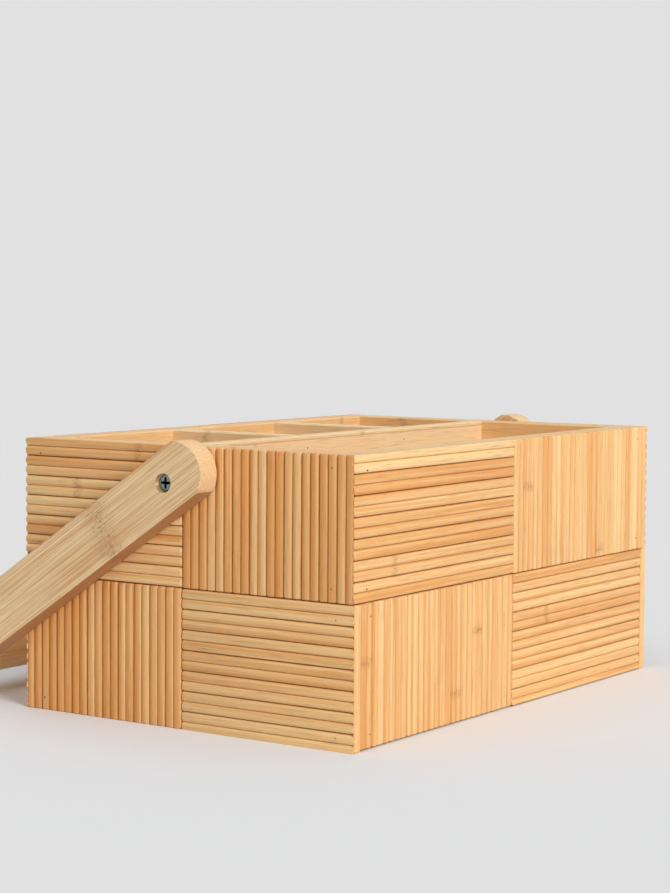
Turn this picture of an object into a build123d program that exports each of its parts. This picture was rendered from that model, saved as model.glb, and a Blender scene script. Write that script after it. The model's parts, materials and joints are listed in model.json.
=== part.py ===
from build123d import *
import math
import os

# A bamboo utensil caddy: a box clad in a checker of reeded slats, four open bays above a flush
# drawer, and a swinging bail handle screwed to the middle of each end.
# Frame: origin at the middle of the underside, +X along the box, +Y to the back, +Z up.

# ---------------------------------------------------------------- driving dimensions (mm)
# Box, outside the cladding
box_length = 298.0
box_width = 202.0
box_height = 138.0
row_seam = 69.0  # height of the joint between the two rows of tiles

# Boards
board_thick = 12.0
floor_thick = 6.0
deck_thick = 6.0
deck_housing = 4.0  # how far the deck is let into the walls
divider_thick = 9.0
edge_ease = 0.6  # eased top edges

# Bays above the deck
long_bay_width = 84.0
small_bay_length = 84.0  # the two bays nearest the left end; the third takes what is left

# Reeded slats
slat_thick = 4.0
slat_pitch = 10.0
slat_gap = 0.4
reed_rise = 1.7
reed_flats = 4  # flats that make up the round of a reed
tile_gap = 0.5
front_tile_split = 147.0  # from the corner to the joint between the two columns, long sides
corner_strip = 6.0

# Drawer
drawer_side_thick = 9.0
drawer_bottom_thick = 4.0
drawer_bottom_lift = 4.0
drawer_groove = 4.0
drawer_side_height = 52.0
drawer_back_height = 54.5
drawer_back_clear = 3.0
drawer_side_clear = 0.5
drawer_run_clear = 0.3
drawer_front_clear = 0.5
drawer_stop_length = 40.0
drawer_stop_width = 10.0
drawer_stop_drop = 6.0
push_hole_radius = 12.5
push_hole_height = 36.0

# Handle
arm_length = 229.0
arm_width = 29.0
arm_end_flat = 1.5  # how much larger the radius of an arm's end is than half its width
arm_thick = 13.0
arm_edge = 0.5
arm_gap = 1.0  # between an arm and the cladding
pivot_drop = 17.0  # from the box's top edge to the pivot
screw_inset = 24.0  # from the end of an arm to its screw
table_gap = 0.3  # between the folded handle and the table
grip_radius = 11.0
grip_socket = 4.0
socket_clear = 0.05

# Screws and washers
screw_radius = 2.0
screw_length = 24.0
screw_tip = 5.0
screw_head_radius = 4.3
screw_head_height = 2.6
screw_head_bevel = 1.0
screw_recess = 2.0  # from the arm's face down to the head
head_clear = 0.4
pivot_clear = 0.08
pilot_clear = 0.05
seat_clear = 0.1
cross_length = 4.6
cross_width = 1.1
cross_depth = 1.5
washer_radius = 7.0
washer_thick = 0.8

cut_over = 1.0  # how far a cutting shape runs past what it cuts

# ---------------------------------------------------------------- worked out from the above
core_length = box_length - 2 * slat_thick
core_width = box_width - 2 * slat_thick
core_x = core_length / 2
core_y = core_width / 2
inner_x = core_x - board_thick
inner_y = core_y - board_thick
deck_low = row_seam - deck_thick

divider_front = -inner_y + long_bay_width
divider_back = divider_front + divider_thick
cross_left = -inner_x + small_bay_length
cross_right = cross_left + divider_thick + small_bay_length

pivot_height = box_height - pivot_drop
arm_inner_x = box_length / 2 + arm_gap
arm_outer_x = arm_inner_x + arm_thick
arm_end_radius = arm_width / 2 + arm_end_flat
reach = arm_length - 2 * screw_inset  # from the pivot to the grip
foot_reach = reach + screw_inset - arm_end_radius  # from the pivot to the middle of the foot's arc
arm_tilt = math.degrees(math.asin((pivot_height - arm_end_radius - table_gap) / foot_reach))
counterbore_radius = screw_head_radius + head_clear
counterbore_depth = screw_recess + screw_head_height
head_seat_x = arm_outer_x - counterbore_depth
screw_end_x = head_seat_x - screw_length
grip_end_x = arm_inner_x + grip_socket - seat_clear

drawer_low = floor_thick + drawer_run_clear
drawer_out_x = inner_x - drawer_side_clear
drawer_in_x = drawer_out_x - drawer_side_thick
drawer_end_y = inner_y - drawer_back_clear
drawer_back_y = drawer_end_y - drawer_side_thick
drawer_bottom_low = drawer_low + drawer_bottom_lift
drawer_skirt = drawer_front_clear + table_gap  # the front's lower edge above the table
stop_front_y = -inner_y + drawer_front_clear
stop_back_y = stop_front_y + drawer_stop_width

os.makedirs("parts", exist_ok=True)


def save(part, label):
    part.label = label
    export_step(part, f"parts/{label}.step")


def block(low, high, mode=Mode.ADD):
    """A box between two opposite corners."""
    middle = [(a + b) / 2 for a, b in zip(low, high)]
    size = [abs(b - a) for a, b in zip(low, high)]
    with Locations(tuple(middle)):
        Box(*size, mode=mode)


def pilot_hole(middle, outward, mouth_x):
    """A blind hole for a screw's thread, from a mouth at |x| = mouth_x to just past its tip."""
    with Locations(Plane(middle + outward * mouth_x, z_dir=outward).location):
        Cylinder(
            screw_radius + pilot_clear,
            mouth_x - screw_end_x + seat_clear,
            align=(Align.CENTER, Align.CENTER, Align.MAX),
            mode=Mode.SUBTRACT,
        )


def ease_top_edges(part, along):
    """Take the sharpness off the long edges of a board's top."""
    chamfer(part.faces().sort_by(Axis.Z)[-1].edges().filter_by(along), length=edge_ease)


# ---------------------------------------------------------------- carcass boards
pivot = Vector(0, 0, pivot_height)

for side, sign in (("left", -1), ("right", 1)):
    with BuildPart() as end_wall:
        block((sign * inner_x, -core_y, 0), (sign * core_x, core_y, box_height))
        ease_top_edges(end_wall, Axis.Y)
        block(
            (sign * inner_x, -inner_y, deck_low),
            (sign * (inner_x + deck_housing), inner_y + deck_housing, row_seam),
            mode=Mode.SUBTRACT,
        )
        pilot_hole(pivot, Vector(sign, 0, 0), core_x)
    save(end_wall.part, f"end_wall_{side}")

with BuildPart() as back_wall:
    block((-inner_x, inner_y, 0), (inner_x, core_y, box_height))
    ease_top_edges(back_wall, Axis.X)
    block((-inner_x, inner_y, deck_low), (inner_x, inner_y + deck_housing, row_seam), mode=Mode.SUBTRACT)
    with Locations(Location((0, (inner_y + core_y) / 2, push_hole_height), (90, 0, 0))):
        Cylinder(push_hole_radius, 2 * board_thick, mode=Mode.SUBTRACT)
save(back_wall.part, "back_wall")

with BuildPart() as front_rail:
    block((-inner_x, -core_y, deck_low), (inner_x, -inner_y, box_height))
    ease_top_edges(front_rail, Axis.X)
save(front_rail.part, "front_rail")

with BuildPart() as floor_board:
    block((-inner_x, -inner_y + drawer_front_clear, 0), (inner_x, inner_y, floor_thick))
save(floor_board.part, "floor_board")

with BuildPart() as deck_board:
    block(
        (-inner_x - deck_housing, -inner_y, deck_low),
        (inner_x + deck_housing, inner_y + deck_housing, row_seam),
    )
save(deck_board.part, "deck_board")

with BuildPart() as drawer_stop:
    block(
        (-drawer_stop_length / 2, stop_front_y, deck_low - drawer_stop_drop),
        (drawer_stop_length / 2, stop_back_y, deck_low),
    )
    chamfer(drawer_stop.faces().sort_by(Axis.Z)[0].edges().filter_by(Axis.X), length=edge_ease)
save(drawer_stop.part, "drawer_stop")

# ---------------------------------------------------------------- dividers
with BuildPart() as long_divider:
    block((-inner_x, divider_front, row_seam), (inner_x, divider_back, box_height))
    ease_top_edges(long_divider, Axis.X)
save(long_divider.part, "long_divider")

for side, cross_x in (("left", cross_left), ("right", cross_right)):
    with BuildPart() as cross_divider:
        block((cross_x, divider_back, row_seam), (cross_x + divider_thick, inner_y, box_height))
        ease_top_edges(cross_divider, Axis.Y)
    save(cross_divider.part, f"cross_divider_{side}")

# ---------------------------------------------------------------- reeded cladding
# Each side of the box has its own plane on the boards' outer face: x runs to the right as seen
# from outside, y up and z outwards.
sides = {
    "front": Plane(origin=(-core_x, -core_y, 0), x_dir=(1, 0, 0), z_dir=(0, -1, 0)),
    "right": Plane(origin=(core_x, -core_y, 0), x_dir=(0, 1, 0), z_dir=(1, 0, 0)),
    "back": Plane(origin=(core_x, core_y, 0), x_dir=(-1, 0, 0), z_dir=(0, 1, 0)),
    "left": Plane(origin=(-core_x, core_y, 0), x_dir=(0, -1, 0), z_dir=(-1, 0, 0)),
}
side_lengths = {"front": core_length, "right": core_width, "back": core_length, "left": core_width}
side_splits = {
    "front": front_tile_split - slat_thick,
    "right": core_width / 2,
    "back": front_tile_split - slat_thick,
    "left": core_width / 2,
}


def slat_profile(width, reeds):
    """One slat across its grain: a flat back and half-round reeds side by side."""
    reed = (width - slat_gap) / reeds
    with BuildSketch(mode=Mode.PRIVATE) as profile:
        with GridLocations(reed, 0, reeds, 1):
            add(reed_profile(reed))
    return profile.sketch


def reed_profile(reed):
    """A reed across its grain: its round is part of a circle through both shoulders and the crown."""
    round_radius = (reed**2 / 4 + reed_rise**2) / (2 * reed_rise)
    half_sweep = math.asin(reed / 2 / round_radius)
    corners = [(-reed / 2, 0)]
    for flat in range(reed_flats + 1):
        turn = half_sweep * (2 * flat / reed_flats - 1)
        height = slat_thick - round_radius * (1 - math.cos(turn))
        corners.append((round_radius * math.sin(turn), height))
    corners.append((reed / 2, 0))
    with BuildSketch(mode=Mode.PRIVATE) as profile:
        with BuildLine():
            Polyline(*corners, close=True)
        make_face()
    return profile.sketch


def footprint(face, top, left, right, mitre_left, mitre_right):
    """The tile seen from above, on a plane at its top edge: 45 degree ends at the corners."""
    over = slat_thick + cut_over
    return Plane(face.from_local_coords((0, top, 0)), x_dir=face.x_dir, z_dir=-face.y_dir), [
        (left, 0),
        (left - over * mitre_left, over),
        (right + over * mitre_right, over),
        (right, 0),
    ]


def clad_tile(
    label, face, left, right, bottom, top, upright, mitre_left, mitre_right, cutter=None, reeds=2
):
    """A block of slats on one side of the box, glued side by side, upright or lying level."""
    outer_left = left - slat_thick * mitre_left
    outer_right = right + slat_thick * mitre_right
    if upright:
        rows = max(1, round((outer_right - outer_left) / slat_pitch))
        pitch = (outer_right - outer_left) / rows
        first = pitch / 2
        section = Plane(
            face.from_local_coords((outer_left, top, 0)), x_dir=face.x_dir, z_dir=-face.y_dir
        )
        run = top - bottom
    else:
        rows = math.ceil((top - bottom) / slat_pitch)
        pitch = slat_pitch
        trim = rows * pitch - (top - bottom)
        first = pitch / 2 - (trim if bottom < row_seam / 2 else 0)
        section = Plane(
            face.from_local_coords((outer_left, bottom, 0)), x_dir=face.y_dir, z_dir=face.x_dir
        )
        run = outer_right - outer_left
    plan, corners = footprint(face, top, left, right, mitre_left, mitre_right)
    slat = slat_profile(pitch, reeds)
    with BuildPart() as tile:
        with BuildSketch(section):
            with Locations(*[(first + row * pitch, 0) for row in range(rows)]):
                add(slat)
        extrude(amount=run)
        with BuildSketch(plan):
            with BuildLine():
                Polyline(*corners, close=True)
            make_face()
        extrude(amount=top - bottom, mode=Mode.INTERSECT)
        if cutter is not None:
            with Locations(cutter[0]):
                Cylinder(cutter[1], 4 * slat_thick, mode=Mode.SUBTRACT)
    save(tile.part, label)


half_gap = tile_gap / 2
pivot_cut = {
    "left": (Location((-core_x, 0, pivot_height), (0, 90, 0)), screw_radius + pilot_clear),
    "right": (Location((core_x, 0, pivot_height), (0, 90, 0)), screw_radius + pilot_clear),
}
push_cut = (Location((0, core_y, push_hole_height), (90, 0, 0)), push_hole_radius)

for name, face in sides.items():
    length = side_lengths[name]
    split_at = side_splits[name]
    for row, bottom, top in (("lower", 0, row_seam - half_gap), ("upper", row_seam + half_gap, box_height)):
        if name == "front" and row == "lower":
            continue
        cutter = pivot_cut.get(name) if row == "upper" else push_cut if name == "back" else None
        starts_upright = row == "lower"
        clad_tile(
            f"{name}_tile_{row}_left", face, half_gap, split_at - half_gap,
            bottom, top, starts_upright, True, False, cutter,
        )
        clad_tile(
            f"{name}_tile_{row}_right", face, split_at + half_gap, length - half_gap,
            bottom, top, not starts_upright, False, True, cutter,
        )

# The plain upright strip that closes each front corner beside the drawer
strip_width = corner_strip - slat_thick
strip_top = row_seam - half_gap
clad_tile(
    "corner_strip_left", sides["front"], half_gap, strip_width,
    0, strip_top, True, True, False, reeds=1,
)
clad_tile(
    "corner_strip_right", sides["front"], core_length - strip_width, core_length - half_gap,
    0, strip_top, True, False, True, reeds=1,
)

# ---------------------------------------------------------------- drawer
with BuildPart() as drawer_front:
    block(
        (-drawer_out_x, -core_y, drawer_skirt),
        (drawer_out_x, -inner_y, deck_low - drawer_front_clear),
    )
    block(
        (-drawer_in_x - drawer_groove, -inner_y - drawer_groove, drawer_bottom_low),
        (drawer_in_x + drawer_groove, -inner_y, drawer_bottom_low + drawer_bottom_thick),
        mode=Mode.SUBTRACT,
    )
save(drawer_front.part, "drawer_front")

clad_tile(
    "drawer_tile_left", sides["front"], strip_width + tile_gap, side_splits["front"] - half_gap,
    drawer_skirt, strip_top, True, False, False,
)
clad_tile(
    "drawer_tile_right", sides["front"], side_splits["front"] + half_gap,
    core_length - strip_width - tile_gap, drawer_skirt, strip_top, False, False, False,
)

for side, sign in (("left", -1), ("right", 1)):
    with BuildPart() as drawer_side:
        block(
            (sign * drawer_in_x, -inner_y, drawer_low),
            (sign * drawer_out_x, drawer_end_y, drawer_low + drawer_side_height),
        )
        ease_top_edges(drawer_side, Axis.Y)
        block(
            (sign * drawer_in_x, -inner_y, drawer_bottom_low),
            (
                sign * (drawer_in_x + drawer_groove),
                drawer_back_y + drawer_groove,
                drawer_bottom_low + drawer_bottom_thick,
            ),
            mode=Mode.SUBTRACT,
        )
    save(drawer_side.part, f"drawer_side_{side}")

with BuildPart() as drawer_back:
    block(
        (-drawer_in_x, drawer_back_y, drawer_low),
        (drawer_in_x, drawer_end_y, drawer_low + drawer_back_height),
    )
    ease_top_edges(drawer_back, Axis.X)
    block(
        (-drawer_in_x, drawer_back_y, drawer_bottom_low),
        (drawer_in_x, drawer_back_y + drawer_groove, drawer_bottom_low + drawer_bottom_thick),
        mode=Mode.SUBTRACT,
    )
save(drawer_back.part, "drawer_back")

with BuildPart() as drawer_bottom:
    block(
        (-drawer_in_x - drawer_groove, -inner_y - drawer_groove, drawer_bottom_low),
        (
            drawer_in_x + drawer_groove,
            drawer_back_y + drawer_groove,
            drawer_bottom_low + drawer_bottom_thick,
        ),
    )
save(drawer_bottom.part, "drawer_bottom")

# ---------------------------------------------------------------- handle
# An arm is drawn on a plane whose x runs from the pivot down to the grip and whose z points to +X.
tilt = math.radians(arm_tilt)
arm_run = Vector(0, math.cos(tilt), -math.sin(tilt))
grip_middle = arm_run * reach + pivot

for side, sign in (("left", -1), ("right", 1)):
    near_face = min(sign * arm_inner_x, sign * arm_outer_x)
    arm_plane = Plane(origin=(near_face, 0, pivot_height), x_dir=arm_run, z_dir=(1, 0, 0))
    outward = Vector(sign, 0, 0)
    with BuildPart() as arm:
        with BuildSketch(arm_plane):
            with Locations((reach / 2, 0)):
                SlotOverall(arm_length, 2 * arm_end_radius)
                Rectangle(arm_length, arm_width, mode=Mode.INTERSECT)
        extrude(amount=arm_thick)
        chamfer(arm.faces().filter_by(Axis.X).edges(), length=arm_edge)
        for hole in (pivot, grip_middle):
            with Locations(Plane(hole, z_dir=outward).location):
                Cylinder(screw_radius + pivot_clear, 2 * (arm_outer_x + cut_over), mode=Mode.SUBTRACT)
            seat = Plane(hole + outward * head_seat_x, z_dir=outward)
            with Locations(seat.location):
                Cylinder(
                    counterbore_radius, 2 * counterbore_depth,
                    align=(Align.CENTER, Align.CENTER, Align.MIN), mode=Mode.SUBTRACT,
                )
        socket = Plane(grip_middle + outward * (arm_inner_x + grip_socket), z_dir=outward)
        with Locations(socket.location):
            Cylinder(
                grip_radius + socket_clear, 2 * grip_socket,
                align=(Align.CENTER, Align.CENTER, Align.MAX), mode=Mode.SUBTRACT,
            )
    save(arm.part, f"handle_arm_{side}")

with BuildPart() as handle_grip:
    with Locations(Plane(grip_middle, z_dir=(1, 0, 0)).location):
        Cylinder(grip_radius, 2 * grip_end_x)
    for sign in (-1, 1):
        pilot_hole(grip_middle, Vector(sign, 0, 0), grip_end_x)
save(handle_grip.part, "handle_grip")

# ---------------------------------------------------------------- screws and washers
head_x = head_seat_x + seat_clear
for label, middle in (("pivot_screws", pivot), ("grip_screws", grip_middle)):
    with BuildPart() as screws:
        for sign in (-1, 1):
            outward = Vector(sign, 0, 0)
            seat = Plane(middle + outward * head_x, x_dir=(0, 1, 0), z_dir=outward)
            with BuildSketch(Plane(seat.origin, x_dir=seat.x_dir, z_dir=-seat.y_dir)):
                with BuildLine():
                    Polyline(
                        (0, screw_head_height),
                        (0, -screw_length),
                        (screw_radius, -screw_length + screw_tip),
                        (screw_radius, 0),
                        (screw_head_radius, 0),
                        (screw_head_radius, screw_head_height - screw_head_bevel),
                        (screw_head_radius - screw_head_bevel, screw_head_height),
                        close=True,
                    )
                make_face()
            revolve(axis=Axis(seat.origin, seat.z_dir))
            with BuildSketch(seat.offset(screw_head_height)):
                Rectangle(cross_length, cross_width)
                Rectangle(cross_width, cross_length)
            extrude(amount=-cross_depth, mode=Mode.SUBTRACT)
    save(screws.part, label)

with BuildPart() as pivot_washers:
    for sign in (-1, 1):
        outward = Vector(sign, 0, 0)
        washer_plane = Plane((sign * box_length / 2, 0, pivot_height), z_dir=outward)
        with Locations(washer_plane.location):
            Cylinder(washer_radius, washer_thick, align=(Align.CENTER, Align.CENTER, Align.MIN))
    with Locations(Plane(pivot, z_dir=(1, 0, 0)).location):
        Cylinder(screw_radius + pivot_clear, 2 * box_length, mode=Mode.SUBTRACT)
save(pivot_washers.part, "pivot_washers")

print(f"handle tilt {arm_tilt:.2f} degrees below level")
print(f"drawer travel {drawer_back_y - stop_back_y:.1f} mm to its stop")
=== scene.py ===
import itertools
import json
import math

import bmesh
import bpy
import numpy as np
from mathutils import Matrix, Vector

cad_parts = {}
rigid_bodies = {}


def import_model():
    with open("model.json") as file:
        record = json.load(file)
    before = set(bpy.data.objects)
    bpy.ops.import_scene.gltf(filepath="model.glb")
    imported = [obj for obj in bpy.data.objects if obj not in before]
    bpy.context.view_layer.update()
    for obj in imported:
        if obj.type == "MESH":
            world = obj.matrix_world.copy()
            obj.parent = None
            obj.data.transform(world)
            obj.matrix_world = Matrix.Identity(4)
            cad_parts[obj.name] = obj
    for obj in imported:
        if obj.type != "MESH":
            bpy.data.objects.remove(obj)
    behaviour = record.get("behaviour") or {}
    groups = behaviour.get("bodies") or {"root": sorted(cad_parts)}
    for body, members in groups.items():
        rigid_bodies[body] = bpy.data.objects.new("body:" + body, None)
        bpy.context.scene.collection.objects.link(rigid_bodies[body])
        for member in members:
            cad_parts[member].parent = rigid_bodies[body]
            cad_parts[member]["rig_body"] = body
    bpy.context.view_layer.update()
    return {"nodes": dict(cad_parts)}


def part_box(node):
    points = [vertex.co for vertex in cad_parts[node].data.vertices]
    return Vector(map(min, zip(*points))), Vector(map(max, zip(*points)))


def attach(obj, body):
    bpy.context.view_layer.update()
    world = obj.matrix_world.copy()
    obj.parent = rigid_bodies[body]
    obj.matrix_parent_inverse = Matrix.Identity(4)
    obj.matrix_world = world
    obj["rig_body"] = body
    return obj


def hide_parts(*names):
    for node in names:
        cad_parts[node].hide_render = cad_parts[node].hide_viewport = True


# A bamboo utensil caddy: a box clad in a checker of reeded slats, open bays above a flush drawer,
# and a swinging bail handle. Metres, with the origin at the middle of the underside, +X along the
# box, +Y to the back and +Z up.

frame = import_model()

# ---------------------------------------------------------------- sizes
millimetre = 0.001

# read from the frame
core_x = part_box("end_wall_left")[0].x * -1
core_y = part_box("end_wall_left")[1].y
box_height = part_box("end_wall_left")[1].z
row_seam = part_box("deck_board")[1].z
slat_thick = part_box("front_tile_upper_left")[0].y * -1 - core_y
drawer_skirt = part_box("drawer_tile_left")[0].z
pivot = (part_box("pivot_screws")[0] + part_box("pivot_screws")[1]) / 2
grip_middle = (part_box("handle_grip")[0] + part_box("handle_grip")[1]) / 2
arm_tilt = math.atan2(pivot.z - grip_middle.z, grip_middle.y - pivot.y)
screw_face_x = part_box("pivot_screws")[1].x
front_split = (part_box("front_tile_upper_left")[1].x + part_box("front_tile_upper_right")[0].x) / 2 + core_x

# slats
slat_pitch = 10 * millimetre
slat_gap = 0.25 * millimetre
tile_gap = 0.3 * millimetre
corner_crevice = 0.5 * millimetre  # beside an upright slat at a corner
slat_unevenness = 0.12 * millimetre  # the most by which a slat is thinner or shorter than full size
least_thinning = 0.5  # the share of the unevenness by which every slat is thinner
reeds_per_slat = 2
reed_rise = 1.6 * millimetre
reed_valley = 1.4 * millimetre  # the groove between the two reeds of a slat
reed_flatness = 2.35  # the power of the reed's superellipse
reed_steps = 12
reed_sharp = math.radians(40)  # a steeper angle than this between two faces stays sharp
end_ease = 0.8 * millimetre  # the radius of a slat's sawn ends
ease_steps = 3
ring_count = 2 * (ease_steps + 1)
drilled_ease = 0.03 * millimetre  # where a hole cuts a slat
drilled_gap = 0.02 * millimetre  # half the hair gap beside a hole that cuts only part of a slat

# the plain strips at the front corners
strip_width = 2 * millimetre  # beyond the thickness of the cladding
strip_rise = 0.7 * millimetre
strip_flatness = 5.0

# how the slats differ: a tone of 1 is the palest, and a warmth of 1 the reddest
drawer_paleness = 0.5
strip_paleness = 0.8
paleness_spread = 0.14
reed_tone_spread = 0.12
usual_warmth = 0.16
warmth_spread = 0.15
rim_tone = 1.1  # the slat under the rim
foot_crown = 0.8  # keeps the painted groove shade faint, so the sawn ends stay nearly as pale as the crowns

# knuckles, in metres
knuckle_spacing = 0.24  # along a board's strips
knuckle_spread = 0.35  # a slat's knuckle lies this far each way from its end, mostly beyond it
arm_knuckle_reach = 0.046  # from the pivot down the arm

# holes through the cladding
push_hole_radius = 12.5 * millimetre
push_hole_height = 36 * millimetre
pivot_hole_radius = 2.1 * millimetre

arm_width = 29 * millimetre

# brads
brad_radius = 0.42 * millimetre
brad_rise = 0.12 * millimetre
brad_inset = 6.4 * millimetre
brad_sides = 12
brad_rings = 4

# copies of the handle, the screws and the washers
merge_distance = 0.001 * millimetre
flat_angle = math.radians(0.5)  # faces that meet at less than this become one
eased_sharp = math.radians(50)  # a steeper angle than this between two faces stays sharp


# ---------------------------------------------------------------- materials
def paint(red, green, blue):
    """A colour written as screen values from 0 to 255, as linear light, by the usual screen's curve."""
    screen = np.array([red, green, blue]) / 255
    linear = np.where(screen <= 0.04045, screen / 12.92, ((screen + 0.055) / 1.055) ** 2.4)
    return (*linear.tolist(), 1.0)


class Shade:
    """A number in a finish. Arithmetic on it adds Math nodes to the finish."""

    def __init__(self, finish, socket):
        self.finish = finish
        self.socket = socket

    def math(self, operation, *values):
        made = self.finish.node("ShaderNodeMath", {"operation": operation}, dict(enumerate(values)))
        return Shade(self.finish, made.outputs[0])

    def __add__(self, other):
        return self.math("ADD", self, other)

    def __radd__(self, other):
        return self.math("ADD", other, self)

    def __sub__(self, other):
        return self.math("SUBTRACT", self, other)

    def __rsub__(self, other):
        return self.math("SUBTRACT", other, self)

    def __mul__(self, other):
        return self.math("MULTIPLY", self, other)

    def __rmul__(self, other):
        return self.math("MULTIPLY", other, self)

    def __truediv__(self, other):
        return self.math("DIVIDE", self, other)

    def __rtruediv__(self, other):
        return self.math("DIVIDE", other, self)

    def __abs__(self):
        return self.math("ABSOLUTE", self)

    def floor(self):
        return self.math("FLOOR", self)

    def root(self):
        return self.math("SQRT", self)

    def larger(self, other):
        return self.math("MAXIMUM", self, other)

    def smaller(self, other):
        return self.math("MINIMUM", self, other)

    def held(self):
        """Kept between 0 and 1."""
        made = self.finish.node("ShaderNodeClamp", values={"Value": self})
        return Shade(self.finish, made.outputs[0])

    def above(self, start, gain):
        """0 up to the start, and then the gain times what lies over it, up to 1."""
        return ((self - start) * gain).held()

    def below(self, limit, gain):
        """0 from the limit up, and the gain times what is missing to it beneath, up to 1."""
        return ((limit - self) * gain).held()

    def swing(self):
        """How far a noise lies above or below its middle."""
        return self - noise_middle


class Nodes:
    """The nodes of a material or a world. Each comes from node(), and its numbers are Shade values."""

    def __init__(self, owner):
        owner.use_nodes = True
        self.tree = owner.node_tree
        self.tree.nodes.clear()

    def node(self, kind, settings=None, values=None):
        made = self.tree.nodes.new(kind)
        for key, setting in (settings or {}).items():
            setattr(made, key, setting)
        for key, value in (values or {}).items():
            self.feed(made, key, value)
        return made

    def feed(self, node, key, value):
        if isinstance(value, Shade):
            value = value.socket
        if isinstance(value, bpy.types.NodeSocket):
            self.tree.links.new(value, node.inputs[key])
        else:
            node.inputs[key].default_value = value


class Finish(Nodes):
    """A material with one principled shader."""

    def __init__(self, name, **constants):
        self.material = bpy.data.materials.new(name)
        super().__init__(self.material)
        self.shader = self.node("ShaderNodeBsdfPrincipled", values=constants)
        self.output = self.node("ShaderNodeOutputMaterial", values={"Surface": self.shader.outputs[0]})

    def split(self, vector):
        parts = self.node("ShaderNodeSeparateXYZ", values={0: vector})
        return [Shade(self, part) for part in parts.outputs]

    def join(self, x, y, z):
        return self.node("ShaderNodeCombineXYZ", values={0: x, 1: y, 2: z}).outputs[0]

    def place(self, centre=(0, 0, 0), turn=(0, 0, 0)):
        """Object coordinates, moved so that the centre is at nought and then turned."""
        spot = self.node("ShaderNodeTexCoord").outputs["Object"]
        shift = Matrix.Identity(3)
        for axis, angle in zip("XYZ", turn):
            shift = Matrix.Rotation(angle, 3, axis) @ shift
        moved = {"Vector": spot, "Location": shift @ Vector(centre) * -1, "Rotation": turn}
        return self.split(self.node("ShaderNodeMapping", {"vector_type": "POINT"}, moved).outputs[0])

    def own(self, name, output="Fac"):
        """An attribute of the piece's own mesh."""
        return Shade(self, self.node("ShaderNodeAttribute", {"attribute_name": name}).outputs[output])

    def noise(self, vector, detail=2.0, roughness=0.5):
        values = {"Vector": vector, "Scale": 1.0, "Detail": detail, "Roughness": roughness}
        return Shade(self, self.node("ShaderNodeTexNoise", values=values).outputs[0])

    def drawn_noise(self, stem, cycles, detail=2.0, roughness=0.5):
        """Noise drawn out along a stem, a place along the piece, across it and through it, with so many
        cycles a metre along it and across it."""
        along, across, depth = stem
        lengthways, crossways = cycles
        vector = self.join(along * lengthways, across * crossways, depth * crossways)
        return self.noise(vector, detail, roughness)

    def chance(self, vector):
        """A number from 0 to 1 that differs wherever the vector does."""
        made = self.node("ShaderNodeTexWhiteNoise", values={"Vector": vector})
        return Shade(self, made.outputs["Value"])

    def mix(self, share, first, second):
        made = self.node("ShaderNodeMix", {"data_type": "RGBA"}, {0: share, 6: first, 7: second})
        return made.outputs[2]

    def colour(self, value):
        self.feed(self.shader, "Base Color", value)

    def roughness(self, value):
        self.feed(self.shader, "Roughness", value)

    def relief(self, height, depth):
        """Small relief: height runs from 0 to 1 and is worth the depth."""
        values = {"Height": height, "Distance": depth, "Strength": 1.0}
        self.feed(self.shader, "Normal", self.node("ShaderNodeBump", values=values).outputs[0])


# bamboo's grain: cycles a metre along the stem and across it
streak_cycles = (5, 400)
fibre_cycles = (14, 1500)
handle_fibre_cycles = (14, 1250)
pore_cycles = (60, 2600)
speckle_cycles = (600, 800)
blotch_cycles = (14, 60)
end_dot_cycles = (900, 900)
noise_middle = 0.5

# bamboo's grain: how strongly each layer shows
rich_detail = 3.0
plain_detail = 1.0
fibre_roughness = 0.6
pore_start = 0.57
pore_gain = 7
pore_shadow = 0.3
warm_streaks = 0.4
warm_share = 0.6
fleck_gain = 5
fleck_shadow = 0.36
knuckle_shadow = 0.16
knuckle_waver = 8 * millimetre  # how far the streaks pull a knuckle out of line
knuckle_core = 1.2  # over 1, so that a knuckle is full for a short way
fibre_relief = 0.6
knuckle_relief = 0.8

# bamboo's sheen
bamboo_gloss = {"Specular IOR Level": 0.35}
reed_roughness = 0.46
board_roughness = 0.48
relief_roughness = 0.16
grain_depth = 0.05 * millimetre
handle_grain_depth = 0.07 * millimetre


def bamboo_look(
    finish, stem, tone, warmth, colours, band=1.3, streak=1.0, fibres_along=fibre_cycles,
    knuckle_half=3 * millimetre,
):
    """Bamboo's grain: long soft streaks, fine fibres and dark pore dashes, all drawn out along the
    stem, and a speckled knuckle wherever the way along it passes nought. The band is the streaks'
    share in the tone and the streak that of the fibres."""
    pale, deep, warm, dark = colours
    streaks = finish.drawn_noise(stem, streak_cycles, detail=rich_detail)
    fibres = finish.drawn_noise(stem, fibres_along, roughness=fibre_roughness)
    dashes = finish.drawn_noise(stem, pore_cycles, detail=plain_detail)
    speckle = finish.drawn_noise(stem, speckle_cycles, detail=plain_detail)
    knuckle = (knuckle_core - abs(stem[0] + streaks.swing() * knuckle_waver) / knuckle_half).held()
    pores = dashes.above(pore_start, pore_gain) * pore_shadow
    ground = finish.mix((tone + streaks.swing() * band + fibres.swing() * streak).held(), deep, pale)
    ground = finish.mix((warmth + streaks.swing() * warm_streaks).held() * warm_share, ground, warm)
    flecks = speckle.above(noise_middle, fleck_gain) * fleck_shadow + knuckle_shadow
    shadow = (pores + knuckle * flecks).held()
    relief = fibres * fibre_relief - pores + knuckle * knuckle_relief
    return finish.mix(shadow, ground, dark), relief


def wood_tones(pale, deep, warm, dark):
    return [paint(*tone) for tone in (pale, deep, warm, dark)]


reed_band = 2.2
groove_crown = 0.88  # a crown lower than this gets the grooves' painted shade
groove_shade = 1.15
groove_painted_shade = paint(136, 76, 32)


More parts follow.
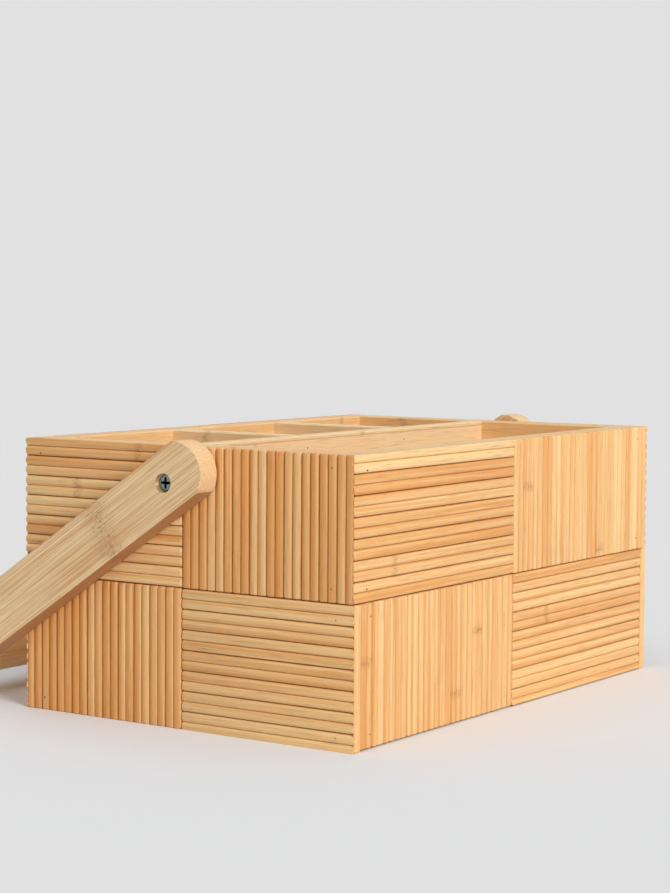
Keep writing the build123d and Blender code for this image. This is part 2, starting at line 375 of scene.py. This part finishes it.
def reed_finish(tones):
    """Slats: the grain follows each slat by its own attributes, and the grooves get a little painted shade.
    """
    finish = Finish("bamboo_reeds", **bamboo_gloss)
    stem = finish.split(finish.own("grain", "Vector"))
    tone, warmth, crown = (finish.own(name) for name in ("tone", "warmth", "crown"))
    look, relief = bamboo_look(finish, stem, tone, warmth, tones, band=reed_band)
    # painted shade: the colour turns brown where the crown is low, in the grooves between reeds and slats
    finish.colour(finish.mix((groove_crown - crown).held() * groove_shade, look, groove_painted_shade))
    finish.roughness(reed_roughness + relief * relief_roughness)
    finish.relief(relief, grain_depth)
    return finish.material


board_centre = (31 * millimetre, 17 * millimetre, 0.0)  # the strips and plies are counted from here
tone_draw = 3.0
knuckle_draw = 7.0
strip_shift = 13 * millimetre
ply_shift = 17 * millimetre
least_board_tone = 0.3
board_tone_spread = 0.5
board_warmth = 0.35
glue_start = 0.488  # from the middle of a strip, in strips
glue_gain = 120
glue_shade = 0.35
glue_groove = 0.3


def board_finish(name, order, tones, strip_wide, strip_thin):
    """Laminated boards: strips side by side and in plies, each with its own tone, and a fine glue line.
    The order says which of X, Y and Z runs along the grain, across the strips and through the plies."""
    finish = Finish(name, **bamboo_gloss)
    axes = dict(zip("xyz", finish.place(centre=board_centre)))
    along, across, depth = (axes[letter] for letter in order)
    column = (across / strip_wide).floor()
    ply = (depth / strip_thin + 0.5).floor()
    tone = finish.chance(finish.join(column, ply, tone_draw))
    start = finish.chance(finish.join(column, ply, knuckle_draw))
    shift = along + start * knuckle_spacing
    from_knuckle = shift - (shift / knuckle_spacing + 0.5).floor() * knuckle_spacing
    stem = (from_knuckle, across + column * strip_shift, depth + ply * ply_shift)
    board_tone = tone * board_tone_spread + least_board_tone
    look, relief = bamboo_look(finish, stem, board_tone, tone * board_warmth, tones)
    glue = abs(across / strip_wide - column - 0.5).above(glue_start, glue_gain)
    finish.colour(finish.mix(glue * glue_shade, look, tones[3]))
    finish.roughness(board_roughness + relief * relief_roughness)
    finish.relief(relief - glue * glue_groove, grain_depth)
    return finish.material


handle_band = 0.4
handle_knuckle_half = 9 * millimetre
least_handle_tone = 0.3
blotch_tone = 0.5
blotch_warmth = 0.2
end_grain_start = 0.3
end_grain_gain = 2.0
# an arm's narrow sides, top and underside: painted shade, darker and browner
side_start = arm_width / 2 - 0.4 * millimetre  # from the arm's middle line
side_gain = 3000
side_tone = 0.35
side_warmth = 0.5
side_shade = 0.6
side_shade_brown = paint(146, 80, 36)


def handle_finish(name, turn, centre, tones, streak, painted_side_shade):
    """The handle's solid bamboo, its grain turned to run along the piece. Its ends show dots in place
    of fibres, and an arm's narrow sides get painted shade, darker and browner."""
    finish = Finish(name, **bamboo_gloss)
    depth, along, across = finish.place(centre=centre, turn=turn)
    stem = (along, across, depth)
    blotch = finish.drawn_noise(stem, blotch_cycles)
    ends = finish.own("end_grain")
    tone = blotch * blotch_tone + least_handle_tone
    warmth = blotch * blotch_warmth
    if painted_side_shade:
        shaded_side = (abs(across).above(side_start, side_gain) - ends * end_grain_gain).held()
        tone = tone - shaded_side * side_tone
        warmth = warmth + shaded_side * side_warmth
    look, relief = bamboo_look(
        finish, stem, tone, warmth, tones, handle_band, streak, handle_fibre_cycles, handle_knuckle_half
    )
    dots = finish.mix(finish.drawn_noise(stem, end_dot_cycles), tones[1], tones[0])
    look = finish.mix(ends.above(end_grain_start, end_grain_gain), look, dots)
    if painted_side_shade:
        look = finish.mix(shaded_side * side_shade, look, side_shade_brown)
    finish.colour(look)
    finish.roughness(board_roughness + relief * relief_roughness)
    finish.relief(relief, handle_grain_depth)
    return finish.material


plate_cycles = (400, 400)
plate_dark = paint(96, 110, 108)
plate_pale = paint(168, 178, 174)
turning_cycles = 9000
# the driver's cross: painted shade
cross_half_width = 0.8 * millimetre
cross_reach = 2.9 * millimetre
cross_shade_share = 0.85
recess_depth = 0.2 * millimetre
recess_radius = 2.6 * millimetre
recess_painted_shade = paint(16, 16, 17)
driver_gain = 8000
driver_side_gain = 6000
driver_depth_gain = 4000
steel_roughness = 0.26
cloud_roughness = 0.14
recess_roughness = 0.5
turning_relief = 0.5
turning_depth = 0.01 * millimetre


def steel_finish(name, centre):
    """Zinc-plated steel, faintly turned about the screw's axis, with painted shade: black down in the
    driver's cross and in a cross a little wider than it on the head.
    """
    finish = Finish(name, **{"Metallic": 1.0})
    x, y, z = finish.place(centre=centre)
    radius = (y * y + z * z).root()
    cloud = finish.drawn_noise((x, y, z), plate_cycles, detail=rich_detail)
    rings = finish.noise(finish.join(radius * turning_cycles, 0.0, 0.0), detail=plain_detail)
    plate = finish.mix(cloud, plate_dark, plate_pale)
    # painted shade: black down in the driver's recess and in a cross a little wider than it on the head's
    # face
    off_cross = abs(y).smaller(abs(z))
    cross = off_cross.below(cross_half_width, driver_side_gain) * radius.below(cross_reach, driver_gain)
    recess = abs(x).below(screw_face_x - recess_depth, driver_depth_gain)
    recess = (recess * radius.below(recess_radius, driver_gain)).larger(cross * cross_shade_share)
    finish.colour(finish.mix(recess, plate, recess_painted_shade))
    finish.roughness((steel_roughness + cloud * cloud_roughness + recess * recess_roughness).held())
    finish.relief(rings * turning_relief + cloud * turning_relief, turning_depth)
    return finish.material


iron_cycles = (2500, 2500)
iron_dark = paint(46, 30, 20)
iron_pale = paint(92, 66, 44)
iron_roughness = 0.5
rust_roughness = 0.3


def brad_finish():
    """Small iron brads, darkened by the tannin round them."""
    finish = Finish("iron_brads", **{"Metallic": 0.5})
    cloud = finish.drawn_noise(finish.place(), iron_cycles)
    finish.colour(finish.mix(cloud, iron_dark, iron_pale))
    finish.roughness(iron_roughness + cloud * rust_roughness)
    return finish.material


# tones: pale, deep, warm and dark
reed_tones = wood_tones((255, 216, 154), (232, 164, 92), (245, 166, 90), (142, 86, 40))
wall_tones = wood_tones((254, 220, 164), (238, 184, 122), (240, 176, 104), (136, 86, 44))
# the dividers' tones are paler, partly their own colour and partly painted light that makes up for the shade
# in the bays
divider_tones_painted_light = wood_tones((255, 232, 186), (244, 206, 154), (248, 202, 146), (140, 92, 52))
arm_tones = wood_tones((255, 228, 178), (226, 170, 114), (244, 194, 134), (156, 98, 50))

# the boards' strips
wall_strip = (21 * millimetre, 6 * millimetre)
long_divider_strip = (34 * millimetre, 9 * millimetre)
cross_divider_strip = (30 * millimetre, 9 * millimetre)

reeds = reed_finish(reed_tones)
walls_along_x = board_finish("wall_bamboo_x", "xzy", wall_tones, *wall_strip)
walls_along_y = board_finish("wall_bamboo_y", "yzx", wall_tones, *wall_strip)
floors_along_x = board_finish("floor_bamboo_x", "xyz", wall_tones, *wall_strip)
dividers_along_x = board_finish("divider_bamboo_x", "xzy", divider_tones_painted_light, *long_divider_strip)
dividers_along_y = board_finish("divider_bamboo_y", "yzx", divider_tones_painted_light, *cross_divider_strip)

# the handle: how strongly the fibres show on the arms and on the grip
arm_streak = 3.0
grip_streak = 1.0
arm_line = (0.0, math.cos(arm_tilt), -math.sin(arm_tilt))
arm_knuckle = pivot + Vector(arm_line) * arm_knuckle_reach
arm_turn = (arm_tilt, 0.0, 0.0)
grip_turn = (0.0, 0.0, math.pi / 2)
# the arms get painted shade on their narrow sides
arm_bamboo = handle_finish(
    "arm_bamboo", arm_turn, arm_knuckle, arm_tones, arm_streak, painted_side_shade=True
)
grip_bamboo = handle_finish(
    "grip_bamboo", grip_turn, grip_middle, arm_tones, grip_streak, painted_side_shade=False
)
pivot_steel = steel_finish("pivot_screw_steel", (0.0, pivot.y, pivot.z))
grip_steel = steel_finish("grip_screw_steel", (0.0, grip_middle.y, grip_middle.z))
iron = brad_finish()


# ---------------------------------------------------------------- making pieces
def add_piece(name, mesh, finish, slot, body, *nodes):
    """A new piece, which rides on its body and stands for the nodes."""
    mesh.materials.clear()
    mesh.materials.append(finish)
    piece = bpy.data.objects.new(name, mesh)
    bpy.context.scene.collection.objects.link(piece)
    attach(piece, body)
    if nodes:
        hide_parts(*nodes)
    return piece


def shell_mesh(name, points, faces, sharp_angle, **attributes):
    """A mesh from whole arrays, with named point attributes, smooth except at sharp angles."""
    mesh = bpy.data.meshes.new(name)
    mesh.from_pydata(points.tolist(), [], faces.tolist())
    for key, values in attributes.items():
        kind, field = ("FLOAT_VECTOR", "vector") if values.ndim == 2 else ("FLOAT", "value")
        attribute = mesh.attributes.new(key, kind, "POINT")
        attribute.data.foreach_set(field, values.astype(np.float32).ravel())
    mesh.polygons.foreach_set("use_smooth", np.ones(len(faces), bool))
    mesh.set_sharp_from_angle(angle=sharp_angle)
    return mesh


def reed_line(width, reeds_across, rise, valley, flatness):
    """The rounded face of a slat from its left to its right edge, as (across, drop below the crown).
    Each reed is half of a superellipse: across is half its width times sine to the power 2/n, and the
    drop is the rise times one less cosine to the power 2/n. Between two reeds the drop stops at the
    valley's depth."""
    half = width / reeds_across / 2
    turn = np.linspace(-math.pi / 2, math.pi / 2, reed_steps + 1)
    power = 2 / flatness
    offset = np.sign(turn) * np.abs(np.sin(turn)) ** power * half
    drop = rise * (1 - np.clip(np.cos(turn), 0, 1) ** power)
    middles = (np.arange(reeds_across) - (reeds_across - 1) / 2) * 2 * half
    across = np.concatenate([middles[0] + offset, *[middle + offset[1:] for middle in middles[1:]]])
    drops = np.concatenate([drop, *[drop[1:] for _ in middles[1:]]])
    inner = np.abs(across) < width / 2 - half
    return across, np.where(inner, np.minimum(drops, valley), drops)


def slat_faces(count, rings, flip):
    """Quads of a slat whose rings hold count points over the reeds and count back along the foot."""
    loop = 2 * count
    ring, step = np.meshgrid(np.arange(rings - 1), np.arange(loop), indexing="ij")
    here = ring * loop + step
    beside = ring * loop + (step + 1) % loop
    sides = np.stack([here, beside, beside + loop, here + loop], -1).reshape(-1, 4)
    over = np.arange(count - 1)
    under = loop - 1 - over
    near = np.stack([over, under, under - 1, over + 1], -1)
    far = near[:, ::-1] + (rings - 1) * loop
    faces = np.concatenate([sides, near, far])
    return faces[:, ::-1] if flip else faces


def slat_body(across, height, count, start, end, start_ease, far_ease):
    """One slat as rings along its length. A ring has count points over the reeds and count back along
    the flat foot, and each of them has its own start and end, which cuts the mitres and the holes. The
    ends are rounded: a ring lies the ease times one less the cosine of its turn further in, and is
    drawn in by the ease times one less its sine."""
    left, right = across[0], across[count - 1]
    middle = (left + right) / 2
    turn = np.linspace(0, math.pi / 2, ease_steps + 1)
    rings = []
    for place, ease, inward in ((start, start_ease, 1), (end, far_ease, -1)):
        bend = turn if inward > 0 else turn[::-1]
        for step_in, drawn in zip(ease * (1 - np.cos(bend)), ease * (1 - np.sin(bend))):
            width = middle + (across - middle) * (1 - drawn / (right - left))
            low = height * (1 - drawn / height.max())
            rings.append(np.stack([width, place + inward * step_in, low], -1))
    return np.concatenate(rings)


class Side:
    """One side of the box: right is to the right as seen from outside, and out points outwards."""

    def __init__(self, origin, right, out, length, split):
        self.origin = np.array(origin)
        self.right = np.array(right, float)
        self.up = np.array([0, 0, 1])
        self.out = np.array(out, float)
        self.length = length
        self.split = split

    def place(self, right, up, out):
        flat = self.origin + right[..., None] * self.right + up[..., None] * self.up
        return flat + out[..., None] * self.out


class Tile:
    """A block of slats glued side by side on one side of the box, upright or lying level. Left and
    right are the edges of its foot, and a mitred one slants out at 45 degrees to the next side's."""

    def __init__(self, side, left, right, bottom, top, upright, mitre_left, mitre_right, hole=None):
        self.side = side
        self.left, self.right = left, right
        self.bottom, self.top = bottom, top
        self.upright = upright
        self.mitre_left, self.mitre_right = mitre_left, mitre_right
        self.hole = hole
        self.outer_left = left - slat_thick * mitre_left
        if upright:
            self.low, self.high = self.outer_left, right + slat_thick * mitre_right
            self.rows = max(1, round((self.high - self.low) / slat_pitch))
            self.pitch = (self.high - self.low) / self.rows
        else:
            self.low, self.high = bottom, top
            self.rows = math.ceil((self.high - self.low) / slat_pitch)
            self.pitch = slat_pitch
        self.first = self.low + self.pitch / 2
        if not upright and bottom < row_seam / 2:
            # at the foot of the box the lowest slat is the one cut short
            self.first = self.high - self.rows * self.pitch + self.pitch / 2

    def edges(self, middle, line, height):
        """The points across one slat's face and along its foot, cut to the tile. Beside a mitred edge
        an upright slat's point may lie further out by its height."""
        slant_left = self.upright and self.mitre_left
        slant_right = self.upright and self.mitre_right
        face_low = self.left - height if slant_left else self.low
        face_high = self.right + height if slant_right else self.high
        foot_low = self.left if slant_left else self.low
        foot_high = self.right if slant_right else self.high
        across = middle + line
        foot = np.linspace(max(across[0], foot_low), min(across[-1], foot_high), len(line))
        return np.clip(across, face_low, face_high), foot

    def pieces(self, across, height, shorter):
        """Each piece of one slat: its start and end at each point of its ring, and the ease of both. A
        mitred end lies further out by the point's height, and a hole's edge lies its circle's half
        chord from its middle."""
        if self.upright:
            start, end = np.full_like(across, self.bottom), np.full_like(across, self.top - shorter)
        else:
            start, end = self.left - height * self.mitre_left, self.right + height * self.mitre_right
        whole = [(start, end, end_ease, end_ease)]
        if self.hole is None:
            return whole
        hole_right, hole_up, hole_radius = self.hole
        hole_across, hole_along = (hole_right, hole_up) if self.upright else (hole_up, hole_right)
        chord = np.sqrt(np.clip(hole_radius ** 2 - (across - hole_across) ** 2, 0, None))
        if not chord.any():
            return whole
        if self.upright:
            chord = np.maximum(chord, drilled_gap)
            return [
                (start, hole_along - chord, end_ease, drilled_ease),
                (hole_along + chord, end, drilled_ease, end_ease),
            ]
        if hole_along > (self.left + self.right) / 2:
            return [(start, np.where(chord > 0, hole_along - chord, end), end_ease, drilled_ease)]
        return [(np.where(chord > 0, hole_along + chord, start), end, drilled_ease, end_ease)]


class Slat:
    """What chance gives one slat: its thickness, what it lacks in height, and where its knuckle, its
    tone, its reeds' tones, its warmth and its grain lie."""

    def __init__(self, luck, tile, paleness, tone_spread):
        thinning = least_thinning + (1 - least_thinning) * luck.random()
        self.thick = slat_thick - thinning * slat_unevenness
        self.shorter = luck.random() * slat_unevenness if tile.upright else 0.0
        start = tile.bottom if tile.upright else tile.outer_left
        self.knuckle = luck.uniform(-knuckle_spread, knuckle_spread) + start
        self.tone = luck.normal(paleness, paleness_spread)
        self.reed_tones = luck.normal(0.0, tone_spread, reeds_per_slat)
        self.warmth = max(0.0, luck.normal(usual_warmth, warmth_spread))
        self.offset = luck.random()


box_sides = {
    "front": Side((-core_x, -core_y, 0), (1, 0, 0), (0, -1, 0), 2 * core_x, front_split),
    "right": Side((core_x, -core_y, 0), (0, 1, 0), (1, 0, 0), 2 * core_y, core_y),
    "back": Side((core_x, core_y, 0), (-1, 0, 0), (0, 1, 0), 2 * core_x, front_split),
    "left": Side((-core_x, core_y, 0), (0, -1, 0), (-1, 0, 0), 2 * core_y, core_y),
}
tile_seeds = itertools.count(1)


def reeded_mesh(label, tile, paleness, plain=False, under_rim=False):
    """The slats of a tile, a mesh whose points carry their place along the grain, tone, warmth and
    crown, which is one less their drop below the crown as a share of the thickness."""
    luck = np.random.default_rng(next(tile_seeds))
    width = tile.pitch - slat_gap
    if plain:
        line, drop = reed_line(width, 1, strip_rise, strip_rise, strip_flatness)
    else:
        line, drop = reed_line(width, reeds_per_slat, reed_rise, reed_valley, reed_flatness)
    count = len(line)
    ring_crown = np.concatenate([1 - drop / slat_thick, np.full(count, foot_crown)])
    faces_of_slat = slat_faces(count, ring_count, not tile.upright)
    points, faces, grain, tone, warmth, crown = [], [], [], [], [], []
    for row in range(tile.rows):
        slat = Slat(luck, tile, paleness, 0.0 if plain else reed_tone_spread)
        if under_rim and row == tile.rows - 1:
            slat.tone, slat.warmth = rim_tone, 0.0
        middle = tile.first + row * tile.pitch
        height = slat.thick - drop
        across, foot = tile.edges(middle, line, height)
        ring_across = np.concatenate([across, foot[::-1]])
        ring_height = np.concatenate([height, np.zeros(count)])
        for piece in tile.pieces(ring_across, ring_height, slat.shorter):
            rings = slat_body(ring_across, ring_height, count, *piece)
            sideways, along, out = rings.T
            faces.append(faces_of_slat + len(points) * len(rings))
            points.append(rings)
            grain.append(np.stack([along - slat.knuckle, sideways - middle, out + slat.offset], -1))
            tone.append(slat.tone + slat.reed_tones[(sideways > middle).astype(int)])
            warmth.append(np.full(len(rings), slat.warmth))
            crown.append(np.tile(ring_crown, ring_count))
    sideways, along, out = np.concatenate(points).T
    right, up = (sideways, along) if tile.upright else (along, sideways)
    return shell_mesh(
        label, tile.side.place(right, up, out), np.concatenate(faces), reed_sharp,
        grain=np.concatenate(grain), tone=np.concatenate(tone),
        warmth=np.concatenate(warmth), crown=np.concatenate(crown),
    )


brad_spots = {"carcass": [], "drawer": []}


def pin_tile(tile, at_left, body):
    """Two brads near a tile's outer edge, one low and one high, each on the crown of its reed."""
    crown_pitch = tile.pitch / reeds_per_slat
    for from_bottom in (True, False):
        right = tile.left + brad_inset if at_left else tile.right - brad_inset
        up = tile.bottom + brad_inset if from_bottom else tile.top - brad_inset
        if tile.upright:
            right = tile.low + (round((right - tile.low) / crown_pitch - 0.5) + 0.5) * crown_pitch
        else:
            up = tile.high - (round((tile.high - up) / crown_pitch - 0.5) + 0.5) * crown_pitch
        spot = tile.side.place(*np.array([right, up, slat_thick - brad_rise]))
        brad_spots[body].append((spot, tile.side.out))


# ---------------------------------------------------------------- reeded cladding
half_gap = tile_gap / 2
push_hole = (core_x, push_hole_height, push_hole_radius)
pivot_hole = (core_y, pivot.z, pivot_hole_radius)
holes = {("back", "lower"): push_hole, ("left", "upper"): pivot_hole, ("right", "upper"): pivot_hole}
tile_rows = (("lower", 0.0, row_seam - half_gap), ("upper", row_seam + half_gap, box_height))

# how pale a tile is, by whether it is in front and whether its slats are upright: painted light and shade
# for how the light falls on the front and on the other sides, and on upright and level reeds
tile_paleness_painted_light = {(True, True): 0.75, (True, False): 0.42, (False, True): 0.22, (False, False): 0.56}

for name, side in box_sides.items():
    for row, bottom, top in tile_rows:
        if name == "front" and row == "lower":
            continue
        for column, left, right in (
            ("left", 0.0, side.split - half_gap),
            ("right", side.split + half_gap, side.length),
        ):
            at_left = column == "left"
            upright = (row == "lower") == at_left
            if upright and at_left:
                left += corner_crevice
            elif upright:
                right -= corner_crevice
            hole = holes.get((name, row))
            tile = Tile(side, left, right, bottom, top, upright, at_left, not at_left, hole)
            in_front = name == "front"
            # each tile's paleness carries painted light and shade by its side and the way its slats run
            mesh = reeded_mesh(
                f"reeds_{name}_{row}_{column}", tile, tile_paleness_painted_light[in_front, upright],
                under_rim=in_front and not upright,
            )
            pin_tile(tile, at_left, "carcass")
            add_piece(mesh.name, mesh, reeds, "reeded_slats", "carcass", f"{name}_tile_{row}_{column}")

front = box_sides["front"]
strip_top = row_seam - half_gap
for column, left, right in (
    ("left", 0.0, strip_width),
    ("right", front.length - strip_width, front.length),
):
    at_left = column == "left"
    tile = Tile(front, left, right, 0.0, strip_top, True, at_left, not at_left)
    mesh = reeded_mesh(f"corner_trim_{column}", tile, strip_paleness, plain=True)
    add_piece(mesh.name, mesh, reeds, "reeded_slats", "carcass", f"corner_strip_{column}")

for column, left, right in (
    ("left", strip_width + tile_gap, front.split - half_gap),
    ("right", front.split + half_gap, front.length - strip_width - tile_gap),
):
    at_left = column == "left"
    tile = Tile(front, left, right, drawer_skirt, strip_top, at_left, False, False)
    mesh = reeded_mesh(f"reeds_drawer_{column}", tile, drawer_paleness)
    pin_tile(tile, at_left, "drawer")
    add_piece(mesh.name, mesh, reeds, "reeded_slats", "drawer", f"drawer_tile_{column}")


# ---------------------------------------------------------------- brads
def brad_domes(name, spots):
    """Brad heads: each is a low dome, whose rise is its height times one less the square of the share
    of its radius, closed underneath in the wood."""
    share = np.linspace(1.0, 0.0, brad_rings, endpoint=False)
    turn = np.arange(brad_sides) * 2 * math.pi / brad_sides
    up_line = np.array([0.0, 0.0, 1.0])
    points, faces = [], []
    for index, (spot, out) in enumerate(spots):
        beside = np.cross(up_line, out)
        flat = np.cos(turn)[:, None] * beside + np.sin(turn)[:, None] * up_line
        dome = [spot + brad_radius * s * flat + out * brad_rise * (1 - s * s) for s in share]
        foot = spot + brad_radius * flat - out * brad_rise
        points += [foot, *dome, (spot + out * brad_rise)[None], (spot - out * brad_rise)[None]]
        first = index * ((brad_rings + 1) * brad_sides + 2)
        here = first + np.arange(brad_sides)
        after = first + (np.arange(brad_sides) + 1) % brad_sides
        for ring in range(brad_rings):
            low, high = ring * brad_sides, (ring + 1) * brad_sides
            faces += np.stack([here + low, after + low, after + high, here + high], -1).tolist()
        tip = first + (brad_rings + 1) * brad_sides
        last = brad_rings * brad_sides
        faces += np.stack([here + last, after + last, np.full(brad_sides, tip)], -1).tolist()
        faces += np.stack([after, here, np.full(brad_sides, tip + 1)], -1).tolist()
    mesh = bpy.data.meshes.new(name)
    mesh.from_pydata(np.concatenate(points).tolist(), [], faces)
    mesh.polygons.foreach_set("use_smooth", np.ones(len(faces), bool))
    return mesh


divider_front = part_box("long_divider")[0].y
for node in ("cross_divider_left", "cross_divider_right"):
    low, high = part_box(node)
    brad_spot = np.array([(low.x + high.x) / 2, divider_front, box_height - brad_inset])
    brad_spots["carcass"].append((brad_spot, np.array([0.0, -1.0, 0.0])))
for body, spots in brad_spots.items():
    add_piece(f"brads_{body}", brad_domes(f"brads_{body}", spots), iron, "steel", body)


# ---------------------------------------------------------------- boards
def finish_nodes(finish, *nodes):
    for node in nodes:
        for slot in frame["nodes"][node].material_slots:
            slot.material = finish


finish_nodes(walls_along_x, "back_wall", "front_rail", "drawer_front", "drawer_back", "drawer_stop")
finish_nodes(walls_along_y, "end_wall_left", "end_wall_right", "drawer_side_left", "drawer_side_right")
finish_nodes(floors_along_x, "floor_board", "deck_board", "drawer_bottom")
finish_nodes(dividers_along_x, "long_divider")
finish_nodes(dividers_along_y, "cross_divider_left", "cross_divider_right")


# ---------------------------------------------------------------- handle, screws and washers
def mark_end_grain(mesh, grain_line):
    """How far each face looks along the grain, 0 on the sides and 1 on an end, kept at its corners."""
    normals = np.empty(len(mesh.polygons) * 3, np.float32)
    corners = np.empty(len(mesh.polygons), np.int32)
    mesh.polygons.foreach_get("normal", normals)
    mesh.polygons.foreach_get("loop_total", corners)
    share = np.abs(normals.reshape(-1, 3) @ np.array(grain_line, np.float32))
    attribute = mesh.attributes.new("end_grain", "FLOAT", "CORNER")
    attribute.data.foreach_set("value", np.repeat(share, corners))


def rounded_copy(name, node, finish, slot, body, grain_line=None):
    """A merged copy of a piece, shaded round over its small eased edges, which stands for the node."""
    mesh = frame["nodes"][node].data.copy()
    work = bmesh.new()
    work.from_mesh(mesh)
    bmesh.ops.remove_doubles(work, verts=work.verts, dist=merge_distance)
    bmesh.ops.dissolve_limit(work, angle_limit=flat_angle, verts=work.verts, edges=work.edges)
    work.to_mesh(mesh)
    work.free()
    mesh.polygons.foreach_set("use_smooth", np.ones(len(mesh.polygons), bool))
    mesh.set_sharp_from_angle(angle=eased_sharp)
    if grain_line is not None:
        mark_end_grain(mesh, grain_line)
    piece = add_piece(name, mesh, finish, slot, body, node)
    even = piece.modifiers.new("even shading", "WEIGHTED_NORMAL")
    even.keep_sharp = True


grip_line = (1.0, 0.0, 0.0)
rounded_copy("arm_left", "handle_arm_left", arm_bamboo, "handle_bamboo", "handle", arm_line)
rounded_copy("arm_right", "handle_arm_right", arm_bamboo, "handle_bamboo", "handle", arm_line)
rounded_copy("grip_bar", "handle_grip", grip_bamboo, "handle_bamboo", "handle", grip_line)
for name, node, finish in (
    ("screws_at_pivot", "pivot_screws", pivot_steel),
    ("screws_at_grip", "grip_screws", grip_steel),
    ("washers", "pivot_washers", pivot_steel),
):
    rounded_copy(name, node, finish, "steel", frame["nodes"][node]["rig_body"])


# ---------------------------------------------------------------- floor, light and camera
white = paint(255, 255, 255)
backdrop_grey = paint(225, 225, 225)
floor_grey = paint(242, 245, 249)
floor_roughness = 0.9
floor_reach = 30.0

# metres from the caddy's middle to where the floor starts to fade into the backdrop, and over how many
fade_start = 0.18
fade_length = 0.22

# a white face turned to a sun renders as bright as the sun's strength
fill_strength = 0.20
key_toward = (-0.18, -0.49, 0.27)
key_strength = 0.59
key_softness = math.radians(24)
top_toward = (0.0, 0.0, 1.0)
top_strength = 0.34
top_softness = math.radians(100)


def make_floor():
    """A pale floor that keeps the shadow near the caddy and runs out into the backdrop's own grey."""
    corners = np.array([(-1, -1, 0), (1, -1, 0), (1, 1, 0), (-1, 1, 0)]) * floor_reach
    mesh = bpy.data.meshes.new("floor")
    mesh.from_pydata(corners.tolist(), [], [(0, 1, 2, 3)])
    matt = {"Base Color": floor_grey, "Roughness": floor_roughness, "Specular IOR Level": 0.0}
    finish = Finish("floor", **matt)
    x, y, _ = finish.place()
    away = (x * x + y * y).root()
    seen = Shade(finish, finish.node("ShaderNodeLightPath").outputs["Is Camera Ray"])
    far = ((away - fade_start) / fade_length).held() * seen
    glow = finish.node("ShaderNodeEmission", values={"Color": backdrop_grey, "Strength": 1.0})
    shares = {0: far, 1: finish.shader.outputs[0], 2: glow.outputs[0]}
    blend = finish.node("ShaderNodeMixShader", values=shares)
    finish.feed(finish.output, "Surface", blend.outputs[0])
    mesh.materials.append(finish.material)
    floor = bpy.data.objects.new("floor", mesh)
    bpy.context.scene.collection.objects.link(floor)


def make_world():
    """Even light from all round; the camera, gloss and glass see the backdrop's grey instead."""
    world = bpy.data.worlds.new("studio")
    bpy.context.scene.world = world
    studio = Nodes(world)
    rays = studio.node("ShaderNodeLightPath").outputs
    seen, gloss, glass = (
        Shade(studio, rays[name]) for name in ("Is Camera Ray", "Is Glossy Ray", "Is Transmission Ray")
    )
    shows_grey = seen.larger(gloss).larger(glass)
    lit = studio.node("ShaderNodeBackground", values={"Color": white, "Strength": fill_strength})
    grey = studio.node("ShaderNodeBackground", values={"Color": backdrop_grey, "Strength": 1.0})
    shares = {0: shows_grey, 1: lit.outputs[0], 2: grey.outputs[0]}
    both = studio.node("ShaderNodeMixShader", values=shares)
    studio.node("ShaderNodeOutputWorld", values={"Surface": both.outputs[0]})


def add_sun(name, toward, strength, softness):
    """Parallel light. Toward points from the object to the sun."""
    lamp = bpy.data.lights.new(name, "SUN")
    lamp.energy = strength * math.pi
    lamp.angle = softness
    holder = bpy.data.objects.new(name, lamp)
    holder.rotation_mode = "QUATERNION"
    holder.rotation_quaternion = Vector(toward).to_track_quat("Z", "Y")
    bpy.context.scene.collection.objects.link(holder)


make_floor()
make_world()
add_sun("key", key_toward, key_strength, key_softness)
add_sun("top", top_toward, top_strength, top_softness)

# The camera's place, and its turn from +Y towards +X, above the level and about its own axis
camera_place = Vector((-0.9801, -0.6574, 0.2090))
camera_yaw = math.radians(55.661)
camera_pitch = math.radians(-3.831)
camera_roll = math.radians(0.356)
image_height = 893
focal_length = 2200.2  # in pixels
sensor = 36.0
nearest_seen = 10 * millimetre

forward = Vector((
    math.cos(camera_pitch) * math.sin(camera_yaw),
    math.cos(camera_pitch) * math.cos(camera_yaw),
    math.sin(camera_pitch),
))
level = Vector((math.cos(camera_yaw), -math.sin(camera_yaw), 0))
upward = level.cross(forward)
camera_right = level * math.cos(camera_roll) + upward * math.sin(camera_roll)
camera_up = upward * math.cos(camera_roll) - level * math.sin(camera_roll)
camera_data = bpy.data.cameras.new("camera")
camera_data.sensor_width = sensor
camera_data.lens = focal_length / image_height * sensor
camera_data.clip_start = nearest_seen
camera = bpy.data.objects.new("camera", camera_data)
turned = Matrix((camera_right, camera_up, -forward)).transposed().to_4x4()
camera.matrix_world = Matrix.Translation(camera_place) @ turned
bpy.context.scene.collection.objects.link(camera)
bpy.context.scene.camera = camera
bpy.context.scene.view_settings.view_transform = "Standard"
